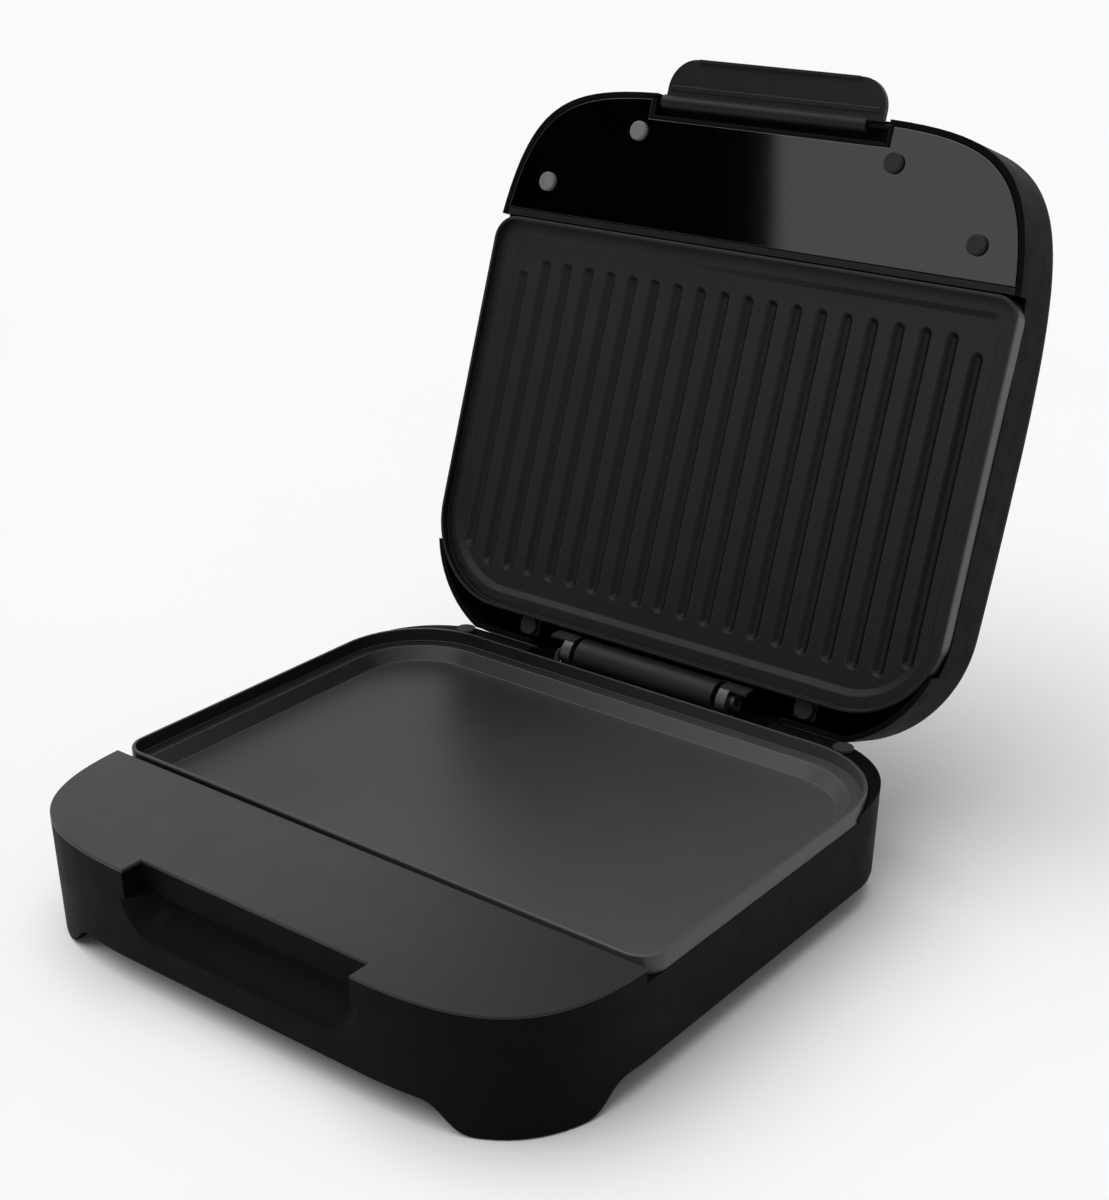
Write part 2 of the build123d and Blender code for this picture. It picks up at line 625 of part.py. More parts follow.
# Gland in the rear wall where the mains cord would enter
with BuildPart() as cord_gland:
    with BuildSketch(Plane.XZ.offset(-BASE_REAR - 2.5)):
        with Locations((GLAND_X, GLAND_Z)):
            Circle(GLAND_RADIUS + 2.2)
    extrude(amount=2.8)
    with BuildSketch(Plane.XZ.offset(-BASE_REAR - 2.5)):
        with Locations((GLAND_X, GLAND_Z)):
            Circle(GLAND_RADIUS)
    extrude(amount=14)
    with BuildSketch(Plane.XZ.offset(-BASE_REAR - 2.5)):
        with Locations((GLAND_X, GLAND_Z)):
            Circle(3.6)
    extrude(amount=14, mode=Mode.SUBTRACT)
save(cord_gland.part, "cord_gland")

# Wires inside the base, from the terminal block to the element and the thermostat
SOCKET_Z = COVER_Z + COVER_THICKNESS + 6.8
with BuildPart() as base_wires:
    for side in (-1, 1):
        block_x = GLAND_X + 24 + 9 * side
        block_y = BLOCK_Y + 3.5
        pin_x = TERMINAL_X * side
        pin_y = CLAMP_REAR + 6.1
        with BuildLine():
            lead = Bezier(
                (block_x, block_y, SOCKET_Z),
                (block_x, block_y, SOCKET_Z + 14),
                (pin_x, pin_y + 20, LOWER_ELEMENT_Z),
                (pin_x, pin_y, LOWER_ELEMENT_Z),
            )
        with BuildSketch(Plane(origin=lead @ 0, z_dir=lead % 0)):
            Circle(1.1)
        sweep()
save(base_wires.part, "base_wires")

# Screws that clamp the lower plate, reflector and bottom cover together
with BuildPart() as clamp_screws:
    with Locations(*CLAMP_SPOTS):
        with Locations((0, 0, COVER_Z + 2.6)):
            Cylinder(SCREW_RADIUS, 21, align=ON_TOP)
            Cylinder(HEAD_RADIUS, 2.4, align=BELOW)
            with Locations((0, 0, -2.4)):
                Box(5, 1, 1.6, mode=Mode.SUBTRACT)
                Box(1, 5, 1.6, mode=Mode.SUBTRACT)
save(clamp_screws.part, "clamp_screws")


def hinge_bracket(side):
    """Foot, ear and top tab of the bracket that holds one hinge pin."""
    with BuildPart() as bracket:
        with BuildSketch(Plane.YZ.offset(side * EAR_INSIDE)):
            with Locations((HINGE_Y, HINGE_Z)):
                Circle(BARREL_RADIUS)
            with Locations((HINGE_Y - 6.6, HINGE_POCKET_Z)):
                Rectangle(8.0, HINGE_Z - HINGE_POCKET_Z, align=(Align.MIN, Align.MIN))
        extrude(amount=side * (EAR_OUTSIDE - EAR_INSIDE))
        with Locations((side * EAR_INSIDE, HINGE_Y - 6.6, HINGE_POCKET_Z)):
            Box(
                BRACKET_OUTSIDE - EAR_INSIDE,
                6.1,
                2,
                align=(Align.MIN if side > 0 else Align.MAX, Align.MIN, Align.MIN),
            )
        with Locations((side * EAR_INSIDE, HINGE_Y - 3.2, HINGE_Z + 5.6)):
            Box(
                12,
                6.0,
                1.3,
                align=(Align.MIN if side > 0 else Align.MAX, Align.MIN, Align.MIN),
            )
        with Locations((side * EAR_INSIDE, HINGE_Y, HINGE_Z)):
            Cylinder(PIN_RADIUS + PIN_CLEARANCE, 40, rotation=(0, 90, 0), mode=Mode.SUBTRACT)
        with Locations(*[(x, y, HINGE_POCKET_Z) for x, y in BRACKET_SCREW_SPOTS]):
            Cylinder(SCREW_HOLE, 6, mode=Mode.SUBTRACT)
        with Locations((-side * SLEEVE_X, HINGE_Y - 3.7, HINGE_POCKET_Z)):
            Cylinder(2.4, 6, mode=Mode.SUBTRACT)
    return bracket.part


save(hinge_bracket(-1), "hinge_bracket_left")
save(hinge_bracket(1), "hinge_bracket_right")

# Bracket screws, driven down through the rear deck
with BuildPart() as bracket_screws:
    with Locations(*[(x, y, HINGE_POCKET_Z + 2) for x, y in BRACKET_SCREW_SPOTS]):
        Cylinder(SCREW_RADIUS, 8, align=BELOW)
        Cylinder(HEAD_RADIUS - 0.6, 2.2, align=ON_TOP)
        with Locations((0, 0, 2.2)):
            Box(4, 0.8, 1.4, mode=Mode.SUBTRACT)
            Box(0.8, 4, 1.4, mode=Mode.SUBTRACT)
save(bracket_screws.part, "bracket_screws")

# Hinge pins, one through each bracket into the barrel
with BuildPart() as hinge_pins:
    for side in (-1, 1):
        with BuildSketch(Plane.YZ.offset(side * PIN_INNER_X)):
            with Locations((HINGE_Y, HINGE_Z)):
                Circle(PIN_RADIUS)
        extrude(amount=side * (EAR_OUTSIDE + 1 - PIN_INNER_X))
        with BuildSketch(Plane.YZ.offset(side * (EAR_OUTSIDE + 0.1))):
            with Locations((HINGE_Y, HINGE_Z)):
                Circle(PIN_HEAD_RADIUS)
        extrude(amount=side * 1.8)
    with Locations((0, HINGE_Y, HINGE_Z)):
        Cylinder(SLEEVE_RADIUS + 0.15, 120, rotation=(0, 90, 0), mode=Mode.SUBTRACT)
save(hinge_pins.part, "hinge_pins")

# Sleeve with the lid's wires, led through the left hinge pin down to the terminal block
with BuildPart() as lead_sleeve:
    with BuildLine():
        block_x = GLAND_X + 24
        sleeve_bend = FilletPolyline(
            (-22, HINGE_Y, HINGE_Z),
            (SLEEVE_X, HINGE_Y, HINGE_Z),
            (SLEEVE_X, HINGE_Y - 9, 24.5),
            (block_x, BLOCK_Y - 3.5, 24.5),
            (block_x, BLOCK_Y - 3.5, SOCKET_Z),
            radius=3,
        )
    with BuildSketch(Plane(origin=sleeve_bend @ 0, z_dir=sleeve_bend % 0)):
        Circle(SLEEVE_RADIUS)
    sweep()
save(lead_sleeve.part, "lead_sleeve")

# Rubber pads on the rear deck, near the corners
with BuildPart() as rear_pads:
    with Locations(*[(x, y, REAR_DECK) for x, y in REAR_PAD_SPOTS]):
        Cylinder(4.0, 1.2, align=ON_TOP)
        Cylinder(1.5, 3, align=BELOW)
save(rear_pads.part, "rear_pads")

# Outer skin of the lid
with BuildPart() as lid_skin:
    add(lid_dome(0))
    add(lid_dome(LID_WALL), mode=Mode.SUBTRACT)

# Lid shell: the skin with posts inside it for the panel, crossbar, plate, trough and hinge
with BuildPart() as lid_shell:
    with Locations(LID):
        with Locations(*[(x, y, PANEL_THICKNESS) for x, y in BUMPER_SPOTS]):
            Cylinder(4.2, 50, align=ON_TOP)
        with Locations(*[(x, y, LUG_TOP) for x, y in LUG_SPOTS]):
            Cylinder(4.2, 50, align=ON_TOP)
        with Locations(*[(x, y, LID_PLATE_BACK) for x, y in REAR_CAP_SPOTS]):
            Cylinder(4.2, 50, align=ON_TOP)
        with Locations(*[(x, y, TROUGH_BACK) for x, y in TROUGH_SCREW_SPOTS]):
            Cylinder(3.4, 50, align=ON_TOP)
        with Locations(*[(x, WEB_REAR, h) for x, h in BARREL_SCREW_SPOTS]):
            Cylinder(4.2, 20, rotation=(-90, 0, 0), align=ON_TOP)
    add(lid_dome(LID_WALL / 2), mode=Mode.INTERSECT)
    add(lid_skin.part)
    with Locations(LID):
        # Screw and stem holes
        with Locations(*[(x, y, PANEL_THICKNESS) for x, y in BUMPER_SPOTS]):
            Cylinder(STEM_RADIUS, 9, align=ON_TOP, mode=Mode.SUBTRACT)
        with Locations(*[(x, y, LUG_TOP) for x, y in LUG_SPOTS]):
            Cylinder(SCREW_HOLE, 11, align=ON_TOP, mode=Mode.SUBTRACT)
        with Locations(*[(x, y, LID_PLATE_BACK) for x, y in REAR_CAP_SPOTS]):
            Cylinder(SCREW_HOLE, 11, align=ON_TOP, mode=Mode.SUBTRACT)
        with Locations(*[(x, y, TROUGH_BACK) for x, y in TROUGH_SCREW_SPOTS]):
            Cylinder(SMALL_HOLE, 9, align=ON_TOP, mode=Mode.SUBTRACT)
        with Locations(*[(x, WEB_REAR, h) for x, h in BARREL_SCREW_SPOTS]):
            Cylinder(SMALL_HOLE, 4.2, rotation=(-90, 0, 0), align=ON_TOP, mode=Mode.SUBTRACT)
        with Locations(*[(x, y, LENS_SEAT - 2) for x, y in LENS_SPOTS]):
            Cylinder(LENS_RADIUS + 0.05, 12, align=ON_TOP, mode=Mode.SUBTRACT)
        # Seat for the plate, notch over the hinge and opening for the latch
        with Locations((0, SEAT_FRONT, -1)):
            Box(260, SEAT_REAR - SEAT_FRONT, LID_SEAT + 1, align=BEHIND_ON_TOP, mode=Mode.SUBTRACT)
        with Locations((0, -8, -1)):
            Box(2 * LID_NOTCH_HALF, 30, LID_NOTCH_HEIGHT + 1, align=BEHIND_ON_TOP, mode=Mode.SUBTRACT)
        with Locations((0, TROUGH_FRONT, -1)):
            Box(
                2 * TROUGH_HALF,
                20,
                TROUGH_FLOOR + 1,
                align=(Align.CENTER, Align.MAX, Align.MIN),
                mode=Mode.SUBTRACT,
            )
        with Locations((0, TROUGH_FRONT - 0.8, -1)):
            Box(
                2 * (TROUGH_HALF + TROUGH_WALL + 0.2),
                9.6,
                TROUGH_BACK + 1,
                align=BEHIND_ON_TOP,
                mode=Mode.SUBTRACT,
            )
    extrude(lid_plate(-1, -0.4), amount=LID_SEAT + 1, mode=Mode.SUBTRACT)
save(lid_shell.part, "lid_shell")

# Crossbar between the front panel and the upper plate, with a flange for its screws
with BuildPart() as lid_crossbar:
    with Locations(LID):
        with Locations((0, BAR_FRONT, 0.3)):
            Box(260, BAR_REAR - BAR_FRONT, LUG_BOTTOM - 0.3, align=BEHIND_ON_TOP)
        with Locations((0, BAR_FRONT - 11, BAR_FLANGE)):
            Box(100, 12, LUG_BOTTOM - BAR_FLANGE, align=BEHIND_ON_TOP)
        with Locations(*LUG_SPOTS):
            Cylinder(SCREW_HOLE, 30, mode=Mode.SUBTRACT)
    extrude(lid_outline(-1, LID_WALL + 0.3), amount=12, mode=Mode.INTERSECT)
save(lid_crossbar.part, "lid_crossbar")

# Glossy panel on the front of the lid's inside
with BuildPart() as front_panel:
    extrude(lid_outline(0, PANEL_INSET), amount=PANEL_THICKNESS)
    with Locations(LID):
        with Locations((0, PANEL_REAR, 0)):
            Box(260, 300, 20, align=(Align.CENTER, Align.MIN, Align.CENTER), mode=Mode.SUBTRACT)
        with Locations((0, PANEL_CUT_REAR, 0)):
            Box(
                2 * PANEL_CUT_HALF,
                30,
                20,
                align=(Align.CENTER, Align.MAX, Align.CENTER),
                mode=Mode.SUBTRACT,
            )
        with Locations(*[(x, y, 0) for x, y in BUMPER_SPOTS]):
            Cylinder(STEM_RADIUS, 20, mode=Mode.SUBTRACT)
save(front_panel.part, "front_panel")

# Rubber bumpers of the panel, each with a stem pressed into a post
with BuildPart() as panel_bumpers:
    with Locations(LID):
        with Locations(*[(x, y, 0) for x, y in BUMPER_SPOTS]):
            Cylinder(BUMPER_RADIUS, BUMPER_HEIGHT, align=BELOW)
            Cylinder(STEM_RADIUS - 0.1, 9, align=ON_TOP)
    bumper_faces = panel_bumpers.faces().filter_by(GeomType.PLANE).group_by(Axis(LID.origin, LID.z_dir))[0]
    chamfer(bumper_faces.edges(), length=0.5)
save(panel_bumpers.part, "panel_bumpers")

# Trough that carries the latch, screwed to the front of the shell
with BuildPart() as latch_trough:
    with Locations(LID):
        with Locations((0, TROUGH_FRONT, 0)):
            Box(
                2 * (TROUGH_HALF + TROUGH_WALL),
                TROUGH_REAR + TROUGH_WALL - TROUGH_FRONT,
                TROUGH_BACK,
                align=BEHIND_ON_TOP,
            )
        with Locations((0, TROUGH_FRONT - 1, -1)):
            Box(
                2 * TROUGH_HALF,
                TROUGH_REAR - TROUGH_FRONT + 1,
                TROUGH_FLOOR + 1,
                align=BEHIND_ON_TOP,
                mode=Mode.SUBTRACT,
            )
        with Locations((0, LATCH_Y, LATCH_H)):
            Cylinder(LATCH_PIN_RADIUS, 120, rotation=(0, 90, 0), mode=Mode.SUBTRACT)
        with Locations(*TROUGH_SCREW_SPOTS):
            Cylinder(SMALL_HOLE, 30, mode=Mode.SUBTRACT)
            Cylinder(SMALL_HEAD + 0.1, TROUGH_FLOOR + 1.4, align=ON_TOP, mode=Mode.SUBTRACT)
save(latch_trough.part, "latch_trough")

with BuildPart() as trough_screws:
    with Locations(LID):
        with Locations(*[(x, y, TROUGH_FLOOR + 1.4) for x, y in TROUGH_SCREW_SPOTS]):
            Cylinder(SMALL_SCREW, 7, align=ON_TOP)
            Cylinder(SMALL_HEAD, 1.3, align=BELOW)
save(trough_screws.part, "trough_screws")

# Latch: a blade with rounded corners on a barrel, with a cross ridge and a lip at its tip
with BuildPart() as latch:
    with BuildSketch(LID.offset(LATCH_FACE)):
        with Locations((0, (LATCH_TIP + LATCH_ROOT) / 2)):
            blade = Rectangle(2 * LATCH_HALF, LATCH_ROOT - LATCH_TIP)
        fillet(blade.vertices().group_by(Axis.Y)[0], radius=LATCH_CORNER)
        with Locations(((LATCH_BARREL_RIGHT - LATCH_HALF) / 2, (LATCH_Y + LATCH_ROOT) / 2)):
            Rectangle(LATCH_BARREL_RIGHT + LATCH_HALF, LATCH_Y - LATCH_ROOT)
    extrude(amount=LATCH_THICKNESS)
    with Locations(LID):
        with Locations(((LATCH_BARREL_LEFT + LATCH_BARREL_RIGHT) / 2, LATCH_Y, LATCH_H)):
            Cylinder(LATCH_BARREL_RADIUS, LATCH_BARREL_RIGHT - LATCH_BARREL_LEFT, rotation=(0, 90, 0))
            Cylinder(LATCH_PIN_RADIUS + 0.05, 200, rotation=(0, 90, 0), mode=Mode.SUBTRACT)
        with Locations((0, LATCH_RIDGE_Y, LATCH_FACE + 0.2)):
            Box(
                2 * LATCH_HALF - 4,
                LATCH_RIDGE_WIDTH,
                LATCH_RIDGE_HEIGHT + 0.2,
                align=(Align.CENTER, Align.MIN, Align.MAX),
            )
        with Locations((0, LATCH_TIP, LATCH_FACE + 0.2)):
            Box(
                2 * (LATCH_HALF - LATCH_CORNER) - 2,
                LATCH_LIP_WIDTH,
                LATCH_LIP_HEIGHT + 0.2,
                align=(Align.CENTER, Align.MIN, Align.MAX),
            )
save(latch.part, "latch")

with BuildPart() as latch_pin:
    with Locations(LID):
        with Locations((0, LATCH_Y, LATCH_H)):
            Cylinder(LATCH_PIN_RADIUS, 2 * (TROUGH_HALF + TROUGH_WALL) - 0.1, rotation=(0, 90, 0))
save(latch_pin.part, "latch_pin")

# Upper cooking plate: rim, stepped edge and long grooves from front to back
with BuildPart() as upper_plate:
    extrude(lid_plate(LID_RIM, 0), amount=LID_SEAT - LID_RIM)
    rim_face = upper_plate.faces().sort_by(Axis(LID.origin, LID.z_dir))[0]
    fillet(rim_face.edges(), radius=0.6)
    loft([lid_plate(LID_SEAT, 4), lid_plate(LID_PLATE_BACK, 9)], ruled=True)
    extrude(lid_plate(LID_RIM - 1, RIM_WIDTH), amount=LID_LEDGE - LID_RIM + 1, mode=Mode.SUBTRACT)
    loft(
        [lid_plate(LID_LEDGE, LEDGE_INSET), lid_plate(LID_FLOOR, LID_FLOOR_INSET)],
        ruled=True,
        mode=Mode.SUBTRACT,
    )
    with BuildSketch(LID.offset(LID_FLOOR - GROOVE_LEAD)):
        with Locations((0, (GROOVE_FRONT + GROOVE_REAR) / 2)):
            with GridLocations(GROOVE_PITCH, 1, GROOVE_COUNT - 2, 1):
                SlotOverall(GROOVE_REAR - GROOVE_FRONT, GROOVE_WIDTH + 2 * GROOVE_LEAD, rotation=90)
            with GridLocations(GROOVE_PITCH * (GROOVE_COUNT - 1), 1, 2, 1):
                SlotOverall(
                    GROOVE_REAR - GROOVE_FRONT - 2 * OUTER_GROOVE_TRIM,
                    GROOVE_WIDTH + 2 * GROOVE_LEAD,
                    rotation=90,
                )
    extrude(amount=GROOVE_DEPTH + GROOVE_LEAD, taper=GROOVE_TAPER, mode=Mode.SUBTRACT)
    with Locations(LID):
        # Bosses for the reflector's screws
        with Locations(*LID_CLAMP_SPOTS):
            with Locations((0, 0, LID_REFLECTOR)):
                Cylinder(BOSS_RADIUS, 8.2, align=BELOW)
                Cylinder(SCREW_HOLE, 8, align=BELOW, mode=Mode.SUBTRACT)
        # Lugs that hold the plate in the shell
        with Locations(*[(x, y - 4, LUG_BOTTOM) for x, y in LUG_SPOTS]):
            Box(12, 22, LUG_TOP - LUG_BOTTOM, align=BEHIND_ON_TOP)
        with Locations(*[(x, -0.4, REAR_LUG_BOTTOM) for x, y in REAR_CAP_SPOTS]):
            Box(10, 18, LID_PLATE_BACK - REAR_LUG_BOTTOM, align=(Align.CENTER, Align.MAX, Align.MIN))
        with Locations(*[(x, y, LUG_BOTTOM) for x, y in LUG_SPOTS]):
            Cylinder(SCREW_HOLE, 6, mode=Mode.SUBTRACT)
        with Locations(*[(x, y, REAR_LUG_BOTTOM) for x, y in REAR_CAP_SPOTS]):
            Cylinder(SCREW_HOLE, 6, mode=Mode.SUBTRACT)
save(upper_plate.part, "upper_plate")

# Screws that hold the crossbar and the plate's front lugs
with BuildPart() as crossbar_screws:
    with Locations(LID):
        with Locations(*[(x, y, BAR_FLANGE) for x, y in LUG_SPOTS]):
            Cylinder(SCREW_RADIUS, 14, align=ON_TOP)
            Cylinder(HEAD_RADIUS, 1.6, align=BELOW)
            with Locations((0, 0, -1.6)):
                Box(5, 1, 1.2, mode=Mode.SUBTRACT)
                Box(1, 5, 1.2, mode=Mode.SUBTRACT)
save(crossbar_screws.part, "crossbar_screws")

# Screws of the plate's rear lugs and the round caps over them
with BuildPart() as rear_lug_screws:
    with Locations(LID):
        with Locations(*[(x, y, REAR_LUG_BOTTOM) for x, y in REAR_CAP_SPOTS]):
            Cylinder(SCREW_RADIUS, 12, align=ON_TOP)
            Cylinder(2.8, 1.2, align=BELOW)
save(rear_lug_screws.part, "rear_lug_screws")

with BuildPart() as rear_caps:
    with Locations(LID):
        with Locations(*[(x, y, REAR_LUG_BOTTOM - 2) for x, y in REAR_CAP_SPOTS]):
            Cylinder(4.0, 2, align=ON_TOP)
            with Locations((0, 0, 0.7)):
                Cylinder(3.0, 2, align=ON_TOP, mode=Mode.SUBTRACT)
save(rear_caps.part, "rear_caps")

# Upper reflector, a shallow sheet tray over the upper element
with BuildPart() as upper_reflector:
    with BuildSketch(LID.offset(LID_REFLECTOR + REFLECTOR_SHEET)):
        with Locations((0, (LID_PLATE_FRONT + LID_PLATE_REAR) / 2)):
            RectangleRounded(2 * REFLECTOR_HALF, REFLECTOR_LENGTH, 12)
    extrude(amount=-REFLECTOR_RIM)
    with BuildSketch(LID.offset(LID_REFLECTOR)):
        with Locations((0, (LID_PLATE_FRONT + LID_PLATE_REAR) / 2)):
            RectangleRounded(
                2 * (REFLECTOR_HALF - REFLECTOR_SHEET),
                REFLECTOR_LENGTH - 2 * REFLECTOR_SHEET,
                12 - REFLECTOR_SHEET,
            )
    extrude(amount=-REFLECTOR_RIM, mode=Mode.SUBTRACT)
    with Locations(LID):
        with Locations(*LID_CLAMP_SPOTS):
            Cylinder(SCREW_HOLE, 100, mode=Mode.SUBTRACT)
        with Locations((0, UPPER_CUTOUT_Y)):
            Cylinder(12, 100, mode=Mode.SUBTRACT)
        with Locations((0, LID_CLAMP_REAR + 13, LID_REFLECTOR - 1)):
            Box(2 * TERMINAL_X + 8, 10, 10, align=BELOW, mode=Mode.SUBTRACT)
save(upper_reflector.part, "upper_reflector")

# Screws that hold the upper reflector to the plate's bosses
with BuildPart() as upper_plate_screws:
    with Locations(LID):
        with Locations(*LID_CLAMP_SPOTS):
            with Locations((0, 0, LID_REFLECTOR + REFLECTOR_SHEET)):
                Cylinder(SCREW_RADIUS, 8, align=BELOW)
                Cylinder(HEAD_RADIUS, 2.2, align=ON_TOP)
                with Locations((0, 0, 2.2)):
                    Box(5, 1, 1.6, mode=Mode.SUBTRACT)
                    Box(1, 5, 1.6, mode=Mode.SUBTRACT)
save(upper_plate_screws.part, "upper_plate_screws")

# Upper heating element, the same bent tube as the lower one
UPPER_ELEMENT_H = LID_PLATE_BACK + ELEMENT_RADIUS + 0.1
with BuildPart() as upper_element:
    with BuildLine(LID.offset(UPPER_ELEMENT_H)):
        upper_bend = FilletPolyline(
            (-TERMINAL_X, LID_CLAMP_REAR - 4),
            (-TERMINAL_X, LID_CLAMP_REAR - 22),
            (-ELEMENT_X, LID_CLAMP_REAR - 22),
            (-ELEMENT_X, LID_CLAMP_FRONT + 16),
            (ELEMENT_X, LID_CLAMP_FRONT + 16),
            (ELEMENT_X, LID_CLAMP_REAR - 22),
            (TERMINAL_X, LID_CLAMP_REAR - 22),
            (TERMINAL_X, LID_CLAMP_REAR - 4),
            radius=9,
        )
    with BuildSketch(Plane(origin=upper_bend @ 0, z_dir=upper_bend % 0)):
        Circle(ELEMENT_RADIUS)
    sweep()
    with Locations(LID):
        with Locations(
            (-TERMINAL_X, LID_CLAMP_REAR - 4, UPPER_ELEMENT_H),
            (TERMINAL_X, LID_CLAMP_REAR - 4, UPPER_ELEMENT_H),
        ):
            Cylinder(1.5, 20, rotation=(90, 0, 0))
save(upper_element.part, "upper_element")

# Thermal cutout pressed against the back of the upper plate
with BuildPart() as thermal_cutout:
    with Locations(LID):
        with Locations((0, UPPER_CUTOUT_Y, LID_PLATE_BACK)):
            Cylinder(8.5, 6, align=ON_TOP)
            Cylinder(7, 11, align=ON_TOP)
            with Locations((-4, 0, 14), (4, 0, 14)):
                Box(0.8, 6.3, 8)
save(thermal_cutout.part, "thermal_cutout")

# Hinge barrel with a web that is screwed to the rear wall of the shell
with BuildPart() as hinge_barrel:
    with Locations(LID):
        Cylinder(BARREL_RADIUS, 2 * BARREL_HALF, rotation=(0, 90, 0))
        with Locations((0, WEB_FRONT, 5)):
            Box(64, WEB_REAR - WEB_FRONT, 15, align=BEHIND_ON_TOP)
        Cylinder(BARREL_BORE, 44, rotation=(0, 90, 0), mode=Mode.SUBTRACT)
        Cylinder(PIN_RADIUS + PIN_CLEARANCE, 100, rotation=(0, 90, 0), mode=Mode.SUBTRACT)
        with Locations(*[(x, -2, h) for x, h in BARREL_SCREW_SPOTS]):
            Cylinder(SMALL_HOLE, 20, rotation=(90, 0, 0), mode=Mode.SUBTRACT)
        # Window in the web and slot in the barrel for the lid's wires
        with Locations((0, -2, 7.2)):
            Box(36, 12, 5, align=ON_TOP, mode=Mode.SUBTRACT)
        with Locations((0, -2.5, 2)):
            Box(18, 6.5, 6, align=ON_TOP, mode=Mode.SUBTRACT)
save(hinge_barrel.part, "hinge_barrel")

with BuildPart() as barrel_screws:
    with Locations(LID):
        with Locations(*[(x, WEB_FRONT, h) for x, h in BARREL_SCREW_SPOTS]):
            Cylinder(SMALL_SCREW, 7, rotation=(-90, 0, 0), align=ON_TOP)
            Cylinder(SMALL_HEAD, 1.3, rotation=(-90, 0, 0), align=BELOW)
save(barrel_screws.part, "barrel_screws")

# Wires inside the lid, from the upper element's terminals into the barrel
with BuildPart() as lid_wires:
    for side in (-1, 1):
        with BuildLine(LID):
            lead = Bezier(
                (side * TERMINAL_X, LID_CLAMP_REAR + 6.1, UPPER_ELEMENT_H),
                (side * TERMINAL_X, LID_CLAMP_REAR + 20, UPPER_ELEMENT_H),
                (side * LID_WIRE_X, -1.5, 12),
                (side * LID_WIRE_X, -1.5, 2),
            )
        with BuildSketch(Plane(origin=lead @ 0, z_dir=lead % 0)):
            Circle(0.8)
        sweep()
save(lid_wires.part, "lid_wires")

# Pilot lamps in the lid's top: lens caps with a neon tube in each
with BuildPart() as pilot_lenses:
    with Locations(LID):
        with Locations(*[(x, y, LENS_SEAT - 1) for x, y in LENS_SPOTS]):
            Cylinder(LENS_RADIUS + 1, 0.8, align=ON_TOP)
            Cylinder(LENS_RADIUS, 4.4, align=ON_TOP)
            Cylinder(2.7, 3.2, align=ON_TOP, mode=Mode.SUBTRACT)
save(pilot_lenses.part, "pilot_lenses")

with BuildPart() as pilot_lamps:
    with Locations(LID):
        with Locations(*[(x, y, LENS_SEAT + 2) for x, y in LENS_SPOTS]):
            Cylinder(2.6, 12, align=BELOW)
        with Locations(*[(x, y, LENS_SEAT - 10) for x, y in LENS_SPOTS]):
            with Locations((-1.2, 0, 0), (1.2, 0, 0)):
                Cylinder(0.4, 8, align=BELOW)
save(pilot_lamps.part, "pilot_lamps")
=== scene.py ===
import json
from math import cos, radians, sin

import bpy
from mathutils import Matrix, Vector

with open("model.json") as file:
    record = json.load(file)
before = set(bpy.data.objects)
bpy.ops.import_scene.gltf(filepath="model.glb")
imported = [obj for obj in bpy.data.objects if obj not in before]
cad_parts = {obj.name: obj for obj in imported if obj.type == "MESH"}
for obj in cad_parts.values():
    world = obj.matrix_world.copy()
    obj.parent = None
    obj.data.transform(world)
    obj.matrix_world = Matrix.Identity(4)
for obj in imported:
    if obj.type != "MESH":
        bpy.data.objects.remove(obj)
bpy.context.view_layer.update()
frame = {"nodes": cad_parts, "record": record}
nodes = frame["nodes"]

# All lengths are in metres.

# The camera stands where the photograph was taken from
CAMERA_AZIMUTH = radians(37.72)
CAMERA_ELEVATION = radians(22.41)
CAMERA_ROLL = radians(0.05)
CAMERA_PLACE = (0.43270, -0.55919, 0.39536)
CAMERA_LENS = 60.84
SENSOR_WIDTH = 36.0

# A place on the hinge axis, the direction from there into the open lid, and how far along it the
# ribs' faces and the grooves' sides lie
HINGE_PLACE = (0.0, 0.0641, 0.0492)
LID_INWARD = (0.0, 0.9461, -0.3239)
RIB_FACE = 0.0048
GROOVE_TOP = RIB_FACE + 0.0002
GROOVE_BOTTOM = RIB_FACE + 0.0013

# Where painted light and shade go over from one tone into another, from and to, across the part or
# up it
PLASTIC_SHADE_FADE = (-0.02, 0.11)
COATING_LIGHT_FADE = (-0.06, 0.11)
RUBBER_HIGHLIGHT_FADE = (-0.05, 0.05)
GROOVE_SHADE_FADE = (-0.10, 0.10)
FOOT_SHADE_FADE = (0.22, 0.07)
RIGHT_RIM_HIGHLIGHT = (0.1228, 0.1234)

# How much of the painted shade the grooves take at the left end of their fade
GROOVE_SHADE_LEFT = 0.35

# Heights of the fine bumps, and radii that round the edges
FINE_BUMP = 0.00003
SOFT_BUMP = 0.00005
GRAIN_BUMP = 0.00006
TINY_EDGE = 0.0002
SMALL_EDGE = 0.0004
RUBBER_EDGE = 0.0005
WIDE_EDGE = 0.0006

# Stretches of the patterns on drawn and pressed metal
UPRIGHT_LINES = (1, 1, 12)
CROSSWISE_LINES = (14, 1, 1)
EVEN_LINES = (2, 2, 2)

# Studio
WORLD_FILL = 0.32
SKY_PLACE = (-0.30, -0.20, 1.0)
SKY_ANGLE = radians(80)
SKY_POWER = 2.2
FLAG_PLACE = (-0.815, -0.553, 0.66)
FLAG_TARGET = (0.012, 0.131, 0.243)
FLAG_SIZE = (0.58, 0.70)
FLAG_ROLL = radians(30)
FLOOR_REACH = 6.0
FLOOR_LOW = (0.975, 0.975, 0.975, 1.0)
FLOOR_HIGH = (0.985, 0.985, 0.985, 1.0)
WHITE = (1, 1, 1, 1)


def linear(value):
    """A grey written as an 8-bit screen value, as linear light."""
    v = value / 255
    return v / 12.92 if v <= 0.04045 else ((v + 0.055) / 1.055) ** 2.4


def tone(red, green=None, blue=None):
    """A linear colour from 8-bit screen values."""
    green = red if green is None else green
    blue = red if blue is None else blue
    return (linear(red), linear(green), linear(blue), 1.0)


